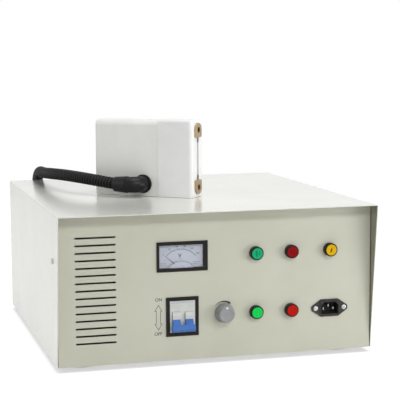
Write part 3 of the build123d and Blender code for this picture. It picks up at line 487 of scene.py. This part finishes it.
def piece(name, points, faces, material, body, smooth=False):
    """A mesh object from points in millimetres and its faces, riding on a body if one is given."""
    mesh = bpy.data.meshes.new(name)
    mesh.from_pydata((np.asarray(points, float).reshape(-1, 3) * MM).tolist(), [], faces)
    mesh.validate()
    mesh.polygons.foreach_set("use_smooth", np.full(len(mesh.polygons), smooth))
    mesh.materials.append(material)
    made = bpy.data.objects.new(name, mesh)
    bpy.context.scene.collection.objects.link(made)
    if body:
        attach(made, body)
    return made


def grid_faces(rows, columns, wrap=False, start=0):
    """The quads of a grid of rows by columns of points, closed across its columns if wrap."""
    index = np.arange(rows * columns).reshape(rows, columns) + start
    if wrap:
        index = np.hstack([index, index[:, :1]])
    corners = (index[:-1, :-1], index[:-1, 1:], index[1:, 1:], index[1:, :-1])
    return np.stack(corners, axis=-1).reshape(-1, 4).tolist()


def unit(vectors):
    """The vectors made one long."""
    return vectors / np.linalg.norm(vectors, axis=-1, keepdims=True)


# Hose: the route's points in metres, from the elbow over the cabinet's rear edge to the coil,
# its turns clockwise and rising one diameter each, and on to the gland
head_route = [
    (-0.1007, -0.0325, 0.222),
    (-0.131, -0.007, 0.227),
    (-0.155, 0.042, 0.2285),
    (-0.167, 0.103, 0.2255),
    (-0.17, 0.163, 0.221),
    (-0.1695, 0.215, 0.2195),
    (-0.1665, 0.26, 0.203),
    (-0.166, 0.289, 0.158),
    (-0.1685, 0.307, 0.11),
    (-0.1695, 0.317, 0.072),
    (-0.17, 0.338, 0.0315),
    (-0.1695, 0.378, 0.008),
]
gland_route = [
    (0.0104, 0.388, 0.0475),
    (0.0096, 0.346, 0.053),
    (0.0106, 0.302, 0.066),
    (0.01, 0.257, 0.069),
]
coil_middle = (-0.08, 0.426)
coil_radius = 0.09
coil_steps = 16
coil_turns = 2.5
coil_route = [
    (
        coil_middle[0] - coil_radius * math.cos(2 * math.pi * step / coil_steps),
        coil_middle[1] + coil_radius * math.sin(2 * math.pi * step / coil_steps),
        hose_diameter * MM * (0.5 + step / coil_steps),
    )
    for step in range(int(coil_turns * coil_steps) + 1)
]
hose_route = head_route + coil_route + gland_route


def spline_line(route):
    """Points in metres along the smooth NURBS line that has the route as its control points."""
    curve = bpy.data.curves.new("hose_line", "CURVE")
    curve.dimensions = "3D"
    spline = curve.splines.new("NURBS")
    spline.points.add(len(route) - 1)
    for control, spot in zip(spline.points, route):
        control.co = (*spot, 1.0)
    spline.order_u = 3
    spline.use_endpoint_u = True
    spline.resolution_u = 16
    holder = bpy.data.objects.new("hose_line", curve)
    bpy.context.scene.collection.objects.link(holder)
    bpy.context.view_layer.update()
    settled = holder.evaluated_get(bpy.context.evaluated_depsgraph_get())
    line = bpy.data.meshes.new_from_object(settled)
    points = np.zeros(len(line.vertices) * 3)
    line.vertices.foreach_get("co", points)
    bpy.data.objects.remove(holder)
    bpy.data.meshes.remove(line)
    return points.reshape(-1, 3)


def along(line, spacing):
    """Points at an even spacing along a line, and how far along it each one is."""
    steps = np.linalg.norm(np.diff(line, axis=0), axis=1)
    reached = np.concatenate([[0], np.cumsum(steps)])
    places = np.linspace(0, reached[-1], int(round(reached[-1] / spacing)) + 1)
    spots = np.stack([np.interp(places, reached, line[:, axis]) for axis in range(3)], axis=1)
    return spots, places


def corrugated_hose(name, route, material):
    """A tube round the route's line. Each ring of points is a circle across the line, and starts
    from a direction that leans from up to back as the line turns down. The radius goes up and
    down as a power of a cosine wave, so that the crests are wider than the grooves, and nothing
    goes below the floor. Ribs 3 mm apart, as such hoses have, are too fine to show from the
    camera's place, so these are 4.6 mm apart."""
    rib = 4.6 * MM
    crest_rise = 0.5
    rib_depth = 1.9
    sides = 18
    spots, places = along(spline_line(route), rib / 8)
    heading = unit(np.gradient(spots, axis=0))
    lean = heading[:, 2:3] ** 2
    upward = (1 - lean) * np.array([[0, 0, 1.0]]) + lean * np.array([[0, 1.0, 0]])
    first = unit(upward - (upward * heading).sum(1, keepdims=True) * heading)
    second = np.cross(heading, first)
    wave = 0.5 + 0.5 * np.cos(2 * math.pi * places / rib)
    radius = (hose_diameter / 2 + crest_rise - rib_depth * (1 - wave**0.4)) * MM
    turn = np.linspace(0, 2 * math.pi, sides, endpoint=False)
    circle = (
        first[:, None] * np.cos(turn)[None, :, None] + second[:, None] * np.sin(turn)[None, :, None]
    )
    points = spots[:, None] + circle * radius[:, None, None]
    points[..., 2] = np.maximum(points[..., 2], 0)
    faces = grid_faces(len(spots), sides, wrap=True)
    last = (len(spots) - 1) * sides
    ends = [list(range(sides))[::-1], list(range(last, last + sides))]
    made = piece(name, points / MM, faces + ends, material, None, smooth=True)
    # The crest value, one on a crest and nought in a groove, sets where the painted groove shade
    # falls
    crest = made.data.attributes.new("crest", "FLOAT", "POINT")
    crest.data.foreach_set("value", np.repeat(wave**3, sides).astype(np.float32))
    return made, spots


hose, hose_path = corrugated_hose("corrugated_hose", hose_route, hose_polyamide)
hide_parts("hose_from_head", "hose_coil", "hose_to_gland")
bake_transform(hose)


def on_panel(flat, y):
    """Points (x, height above the floor) in millimetres, stood up as a picture at y."""
    flat = np.asarray(flat, float)
    return np.stack([flat[..., 0], np.full(flat.shape[:-1], y), flat[..., 1]], axis=-1)


def stroke(line, widths, closed=False):
    """A printed line: two points for each of the line's, half a width to each side along the
    joint's bisector, and the quads between them."""
    line = np.asarray(line, float)
    widths = np.broadcast_to(np.asarray(widths, float), len(line))
    if closed:
        before, after = np.roll(line, 1, axis=0), np.roll(line, -1, axis=0)
    else:
        before = np.vstack([2 * line[0] - line[1], line[:-1]])
        after = np.vstack([line[1:], 2 * line[-1] - line[-2]])
    arriving = unit(line - before)
    leaving = unit(after - line)
    bisector = unit(arriving + leaving)
    across = np.stack([-bisector[:, 1], bisector[:, 0]], axis=1)
    stretch = 1 / np.maximum((bisector * leaving).sum(1), 0.35)
    reach = (widths / 2 * stretch)[:, None]
    points = np.stack([line + across * reach, line - across * reach], axis=1)
    faces = grid_faces(len(line), 2)
    if closed:
        last = 2 * (len(line) - 1)
        faces.append([last, last + 1, 1, 0])
    return points.reshape(-1, 2), faces


def printed(name, strokes, y, material, body="cabinet"):
    """One flat piece from several strokes, printed on a surface at y and facing -Y."""
    points = []
    faces = []
    for spots, quads in strokes:
        start = len(points)
        points.extend(spots.tolist())
        faces.extend((np.array(quads)[:, ::-1] + start).tolist())
    return piece(name, on_panel(points, y), faces, material, body)


def lettering(name, words, size, spot, y, material, weight=0.0):
    """Words as a flat mesh, centred on a spot (x, height) in millimetres, facing -Y."""
    curve = bpy.data.curves.new(name, "FONT")
    curve.body = words
    curve.size = size * MM
    curve.align_x = "CENTER"
    curve.align_y = "CENTER"
    curve.offset = weight * MM
    curve.resolution_u = 4
    holder = bpy.data.objects.new(name, curve)
    bpy.context.scene.collection.objects.link(holder)
    bpy.context.view_layer.update()
    settled = holder.evaluated_get(bpy.context.evaluated_depsgraph_get())
    mesh = bpy.data.meshes.new_from_object(settled)
    bpy.data.objects.remove(holder)
    stand = Matrix.Rotation(math.radians(90), 4, "X")
    mesh.transform(Matrix.Translation(Vector((spot[0], y, spot[1])) * MM) @ stand)
    mesh.materials.clear()
    mesh.materials.append(material)
    made = bpy.data.objects.new(name, mesh)
    bpy.context.scene.collection.objects.link(made)
    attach(made, "cabinet")
    return made


def arc(middle, radius, start, end, count):
    """Points on an arc from one angle to another, in degrees from +X towards up."""
    turn = np.radians(np.linspace(start, end, count))
    return np.stack([middle[0] + radius * np.cos(turn), middle[1] + radius * np.sin(turn)], axis=1)


def screw_heads(name, spots, facing, sideways, size, material):
    """Pan head screws, size being their radius and height. Each head is a disc of rings: its
    height falls as an ellipse towards the edge, less a cross recess, deepest in the middle and
    fading at the ends of its arms, and a last ring closes the edge down to the sheet."""
    radius, height = size
    ring_count = 15
    sides = 48
    rings = np.linspace(0, 1, ring_count)[:, None] ** 0.8
    turn = np.linspace(0, 2 * math.pi, sides, endpoint=False)[None, :]
    first = radius * rings * np.cos(turn)
    second = radius * rings * np.sin(turn)
    dome = height * np.sqrt(np.clip(1 - 0.8 * rings**2.4, 0, 1)) + 0 * turn
    narrow = np.minimum(abs(first), abs(second)) / radius
    wide = np.maximum(abs(first), abs(second)) / radius
    arms = np.clip((0.17 - narrow) / 0.06, 0, 1) * np.clip((0.6 - wide) / 0.12, 0, 1)
    rise = dome - arms * height * 0.62 * (1 - 0.5 * wide)
    rise = np.vstack([rise, np.zeros((1, sides))])
    first = np.vstack([first, first[-1:]])
    second = np.vstack([second, second[-1:]])
    out = np.array(facing, float)
    side = np.array(sideways, float)
    over = np.cross(out, side)
    points = []
    faces = []
    for step, spot in enumerate(spots):
        leaning = math.radians(37 * step + 20)
        along_slot = side * math.cos(leaning) + over * math.sin(leaning)
        across_slot = np.cross(out, along_slot)
        head = (
            np.array(spot, float)
            + first[..., None] * along_slot
            + second[..., None] * across_slot
            + rise[..., None] * out
        )
        faces += grid_faces(ring_count + 1, sides, wrap=True, start=len(points) * rise.size)
        points.append(head)
    turned = np.array(faces)[:, ::-1].tolist()
    made = piece(name, np.array(points), turned, material, "cabinet", smooth=True)
    weld = made.modifiers.new("weld", "WELD")
    weld.merge_threshold = 0.01 * MM
    return made


# Screw heads: where they stand, which way they face, and their radius and height
cover_head = (3.9, 2.2)
inlet_head = (3.2, 1.4)
side_y, side_z = side_screw_spot[0], base_z + side_screw_spot[1]
left_spots = [(-cabinet_half, side_y, side_z)]
left_screw = screw_heads(
    "left_side_screw", left_spots, (-1, 0, 0), (0, 1, 0), cover_head, cream_enamel
)
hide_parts("cover_side_screws")
right_spots = [(cabinet_half, side_y, side_z)]
screw_heads("right_side_screw", right_spots, (1, 0, 0), (0, 1, 0), cover_head, cream_enamel)
rear_spots = [
    (side * rear_screw_reach, rear_y, base_z + rise)
    for side in (-1, 1)
    for rise in rear_screw_rises
]
rear_heads = screw_heads(
    "rear_rim_screw_heads", rear_spots, (0, 1, 0), (1, 0, 0), cover_head, zinc_plate
)
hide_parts("cover_rear_screws")
inlet_spots = [
    (inlet_spot[0] + side * inlet_screw_reach, panel_y - 2.0, base_z + inlet_spot[1])
    for side in (-1, 1)
]
inlet_heads = screw_heads(
    "inlet_screw_heads", inlet_spots, (0, -1, 0), (1, 0, 0), inlet_head, zinc_plate
)
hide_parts("inlet_screws")
fan_spots = [
    (
        fan_spot[0] + side * fan_screw_reach,
        rear_y + 0.4,
        base_z + fan_spot[1] + above * fan_screw_reach,
    )
    for side in (-1, 1)
    for above in (-1, 1)
]
fan_heads = screw_heads("fan_screw_heads", fan_spots, (0, 1, 0), (1, 0, 0), cover_head, zinc_plate)
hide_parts("fan_screws")


def fluted_knob(name, spot, material):
    """The power knob: its profile, a radius for each distance in front of the panel, turned about
    the shaft. Forty flutes, each a cosine wave, are cut into the side, and none into the face."""
    profile = np.array(
        [
            (8.5, 1.0),
            (13.0, 0.8),
            (13.25, 1.2),
            (13.2, 2.4),
            (12.9, 2.8),
            (12.3, 5.5),
            (12.0, 8.5),
            (11.7, 11.0),
            (11.4, 12.4),
            (10.9, 13.5),
            (10.1, 14.4),
            (9.2, knob_length),
            (8.7, 14.6),
            (4.5, 14.5),
            (0.01, 14.5),
        ]
    )
    cut = np.array([0, 0, 0, 0, 0.6, 1, 1, 1, 0.8, 0.2, 0, 0, 0, 0, 0])
    flute_count = 40
    flute_depth = 0.38
    sides = 8 * flute_count
    turn = np.linspace(0, 2 * math.pi, sides, endpoint=False)
    flutes = 0.5 - 0.5 * np.cos(flute_count * turn)
    radius = profile[:, :1] - flute_depth * cut[:, None] * flutes[None, :]
    points = np.stack(
        [
            spot[0] + radius * np.cos(turn),
            np.repeat(panel_y - profile[:, 1:], sides, axis=1),
            base_z + spot[1] + radius * np.sin(turn),
        ],
        axis=-1,
    )
    faces = grid_faces(len(profile), sides, wrap=True)
    made = piece(name, points, faces, material, "knob", smooth=True)
    return made


knob = fluted_knob("fluted_power_knob", knob_spot, knob_grey)
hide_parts("power_knob")

# A pale mark at the upper edge of the knob's face
knob_middle = (knob_spot[0], base_z + knob_spot[1])
mark = [(knob_middle[0], knob_middle[1] + reach) for reach in (7.2, 9.7)]
printed("knob_mark", [stroke(mark, 2.3)], panel_y - knob_length - 0.05, mark_paint, "knob")

# Printing on the front panel: the switch's words and two-headed arrow, and the knob's arrow
ink_y = panel_y - 0.05
word_size = 6.0
on_spot = (switch_print_x + 0.4, base_z + 81.0)
off_spot = (switch_print_x - 0.3, base_z + 36.0)
lettering("switch_on_word", "ON", word_size, on_spot, ink_y, print_ink, 0.06)
lettering("switch_off_word", "OFF", word_size, off_spot, ink_y, print_ink, 0.06)
arrow_rise = base_z + 57.75
tip = 16.25
neck = tip - 7.8
shaft_half = 2.9
head_half = 4.7
right_edge = [
    (0.0, tip),
    (head_half, neck),
    (shaft_half, neck),
    (shaft_half, -neck),
    (head_half, -neck),
]
left_edge = [(-x, -rise) for x, rise in right_edge]
arrow = [(switch_print_x + x, arrow_rise + rise) for x, rise in right_edge + left_edge]
printed("switch_arrow", [stroke(arrow, 0.65, closed=True)], ink_y, print_ink)

arrow_round = (knob_middle[0] - 0.8, knob_middle[1] - 0.2)
swell = np.concatenate([np.linspace(0.35, 2.3, 20), np.linspace(3.8, 0.3, 6)])
sweep = np.concatenate([arc(arrow_round, 15.2, 141, 64, 20), arc(arrow_round, 15.2, 63.5, 49, 6)])
printed("knob_arrow", [stroke(sweep, swell)], ink_y, dark_ink)

# Printing on the meter's card: scale, numbers, unit, and the arc and rules at its foot
card_y = dial_face - 0.05
card_low = base_z + window_rise - window_high / 2
pivot = (window_x, card_low - pivot_drop)
first_angle = 90 + needle_swing / 2
scale_parts = 5
small_marks = 5
number_step = 50
scale_lines = [stroke(arc(pivot, scale_radius, first_angle, 90 - needle_swing / 2, 49), 0.45)]
for step in range(scale_parts * small_marks + 1):
    angle = first_angle - needle_swing * step / (scale_parts * small_marks)
    reach, width = (2.2, 0.4) if step % small_marks == 0 else (1.2, 0.25)
    ends = [arc(pivot, scale_radius + out, angle, angle, 1)[0] for out in (0, reach)]
    scale_lines.append(stroke(ends, width))
printed("meter_scale", scale_lines, card_y, dial_ink)
for step in range(scale_parts + 1):
    angle = first_angle - needle_swing * step / scale_parts
    spot = arc(pivot, scale_radius + 4.4, angle, angle, 1)[0]
    number = str(number_step * step)
    lettering("meter_number_" + number, number, 2.9, spot, card_y, dial_ink, 0.02)
lettering("meter_unit", "V", 6.4, (window_x - 1.0, card_low + 15.4), card_y, dial_ink, 0.28)
ripple = np.arange(13)
underline = np.stack(
    [
        window_x - 2.3 + 0.3 * ripple,
        card_low + 12.2 + 0.35 * np.sin(ripple * math.pi / 6),
    ],
    axis=1,
)
printed("meter_unit_wave", [stroke(underline, 0.3)], card_y, dial_ink)
card_rules = [
    stroke([(window_x + x - 4.5, card_low + rise), (window_x + x + 4.5, card_low + rise)], 0.3)
    for x, rise in ((-23.0, 6.2), (-23.0, 4.2), (21.5, 6.6), (21.5, 4.4))
]
cover_round = (window_x, card_low - 15.2)
card_rules.append(stroke(arc(cover_round, 23.7, 134, 46, 33), 0.4))
printed("meter_card_rules", card_rules, card_y, dial_ink)

# A printed rule near the top of the breaker's face
breaker_y = panel_y - 1.55
rule_rise = base_z + breaker_spot[1] + 18.6
rule = [(breaker_spot[0] + end, rule_rise) for end in (-15.2, 15.2)]
printed("breaker_rule", [stroke(rule, 0.6)], breaker_y, rule_ink)

# Floor: matt and pale, and nearly white to the camera and to reflections, but darker close to
# the object, a painted shadow where less open space lies round each point
floor_material, floor_tree = new_material("pale_studio_floor")
matte = add(floor_tree, "BsdfDiffuse", {"Color": linear("#f2f2f0")})
openness = add(floor_tree, "AmbientOcclusion", {"Distance": 0.009}, samples=12)
lift = add(floor_tree, "Math", {0: openness.outputs["AO"], 1: 1.3}, operation="MULTIPLY")
bright = add(floor_tree, "Emission", {"Color": (1, 1, 1, 1), "Strength": lift.outputs["Value"]})
seen = add(floor_tree, "LightPath")
direct = add(
    floor_tree,
    "Math",
    {0: seen.outputs["Is Camera Ray"], 1: seen.outputs["Is Glossy Ray"]},
    operation="MAXIMUM",
)
share = add(floor_tree, "Math", {0: direct.outputs["Value"], 1: 0.75}, operation="MULTIPLY")
mixed = add(
    floor_tree,
    "MixShader",
    {0: share.outputs["Value"], 1: matte.outputs["BSDF"], 2: bright.outputs["Emission"]},
)
add(floor_tree, "OutputMaterial", {"Surface": mixed.outputs["Shader"]})
rim = np.linspace(0, 2 * math.pi, 96, endpoint=False)
floor_rim = np.stack(
    [floor_radius * np.cos(rim), floor_middle_y + floor_radius * np.sin(rim), 0 * rim], axis=1
)
floor = piece("studio_floor", floor_rim, [list(range(96))], floor_material, None)

# World: white to the camera and in reflections, and dim as a light
world = bpy.data.worlds.new("pale_studio")
bpy.context.scene.world = world
world.use_nodes = True
sky = world.node_tree
sky.nodes.clear()
path = add(sky, "LightPath")
clear = add(
    sky,
    "Math",
    {0: path.outputs["Is Camera Ray"], 1: path.outputs["Is Transmission Ray"]},
    operation="MAXIMUM",
)
glare = add(
    sky,
    "Math",
    {0: clear.outputs["Value"], 1: path.outputs["Is Glossy Ray"]},
    operation="MAXIMUM",
)
strength = add(
    sky, "MapRange", {"Value": glare.outputs["Value"], "To Min": 0.22, "To Max": 1.0}
)
glow = add(sky, "Background", {"Color": (1, 1, 1, 1), "Strength": strength.outputs["Result"]})
add(sky, "OutputWorld", {"Surface": glow.outputs["Background"]})


def lamp(name, spot, aim, wide, high, power):
    """A soft box, wide by high, at a spot and facing an aim, all in metres."""
    light = bpy.data.lights.new(name, "AREA")
    light.shape = "RECTANGLE"
    light.size = wide
    light.size_y = high
    light.energy = power
    holder = bpy.data.objects.new(name, light)
    holder.location = spot
    holder.rotation_euler = (Vector(aim) - Vector(spot)).to_track_quat("-Z", "Y").to_euler()
    bpy.context.scene.collection.objects.link(holder)


# A wide strip in front, a box overhead, one on the left and a low one on the right
lamp("key_strip", (0.55, -1.9, 1.33), (0, 0, 0.1), 1.9, 0.22, 17.0)
lamp("overhead_box", (0.25, -0.2, 2.0), (0.05, 0, 0.15), 1.5, 1.3, 18.0)
lamp("left_box", (-2.7, 0.3, 1.1), (0, 0, 0.12), 1.6, 1.6, 16.0)
lamp("right_box", (1.3, -1.05, 0.22), (0.1, -0.2, 0.08), 0.7, 0.4, 7.2)

# Camera: it looks ahead, turned right of +Y and tilted down, and rolls about that line
turn, tilt, roll = (math.radians(angle) for angle in (camera_turn, camera_tilt, camera_roll))
ahead = Vector((math.sin(turn) * math.cos(tilt), math.cos(turn) * math.cos(tilt), math.sin(tilt)))
level = Vector((math.cos(turn), -math.sin(turn), 0))
upright = level.cross(ahead)
right = math.cos(roll) * level + math.sin(roll) * upright
up = -math.sin(roll) * level + math.cos(roll) * upright
camera = bpy.data.objects.new("photo_camera", bpy.data.cameras.new("photo_camera"))
camera.data.sensor_width = 36.0
camera.data.lens = camera_lens
camera.matrix_world = Matrix.Translation(Vector(camera_spot) * MM) @ Matrix(
    (right, up, -ahead)
).transposed().to_4x4()
bpy.context.scene.collection.objects.link(camera)
bpy.context.scene.camera = camera
bpy.context.scene.view_settings.view_transform = "Standard"
